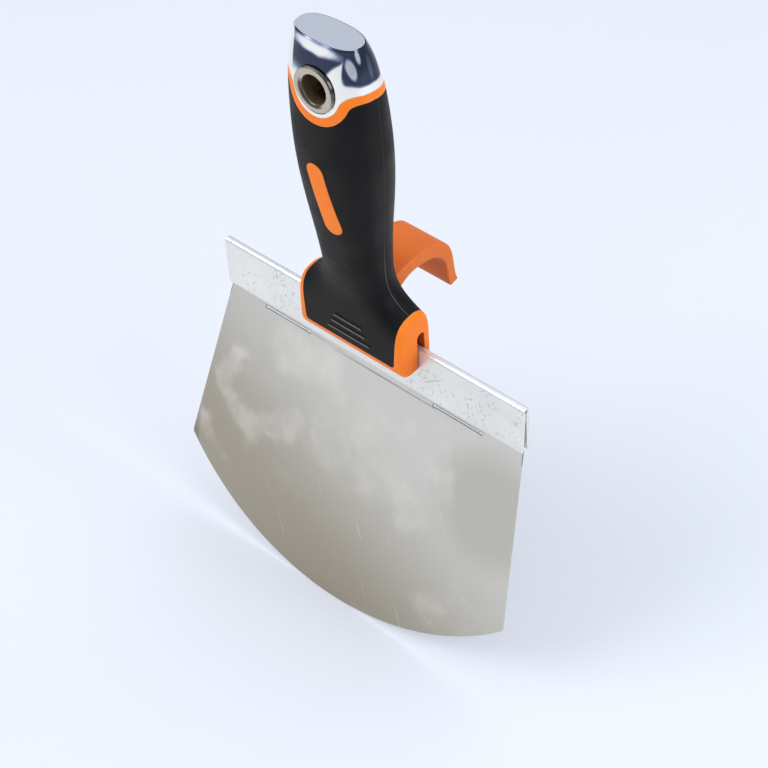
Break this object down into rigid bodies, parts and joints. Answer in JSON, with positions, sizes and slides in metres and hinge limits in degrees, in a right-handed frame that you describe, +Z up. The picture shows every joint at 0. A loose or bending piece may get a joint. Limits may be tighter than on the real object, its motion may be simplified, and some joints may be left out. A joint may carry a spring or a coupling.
{
  "type": "flexible putty knife",
  "caption": "Wide flexible putty knife with a crowned steel blade in a folded metal back, a soft two-material handle, a chromed hammer cap with a hanging eyelet, and a pail hook.",
  "frame": {"origin": "middle of the aluminium back's bottom edge, midway through its thickness, where the blade is folded", "axes": "+X along the back, +Y towards the hook side, +Z up the handle; the blade hangs below the origin and leans towards -Y"},
  "size_m": [0.1996, 0.09, 0.32],
  "materials": {
    "blade_steel": "satin stainless, smeared with dried plaster",
    "back_aluminium": "satin, lightly scratched and speckled",
    "orange_plastic": "moulded satin",
    "hook_plastic": "moulded satin",
    "soft_grip": "soft touch, fine grain",
    "tang_steel": "zinc plated",
    "cap_chrome": "bright chrome, satin on the top face",
    "eyelet_nickel": "polished nickel",
    "screw_steel": "zinc plated",
    "insert_brass": "machined"
  },
  "bodies": {
    "handle": {"blade_root": "blade_steel", "blade_spine": "back_aluminium", "handle_core": "orange_plastic", "grip_front": "soft_grip", "grip_back": "soft_grip", "tang": "tang_steel", "tang_pins": "tang_steel", "end_cap": "cap_chrome", "eyelet": "eyelet_nickel", "eyelet_ring": "eyelet_nickel", "bucket_hook": "hook_plastic", "hook_screws": "screw_steel", "foot_screws": "screw_steel", "foot_inserts": "insert_brass"},
    "blade": {"blade": "blade_steel"}
  },
  "joints": [
    {"name": "blade_flex", "type": "hinge", "parent": "handle", "child": "blade", "pos_m": [0, -0.00937, -0.0285], "axis": [1, 0, 0], "range_deg": [-25, 25], "stiffness_Nm_per_rad": 6}
  ]
}
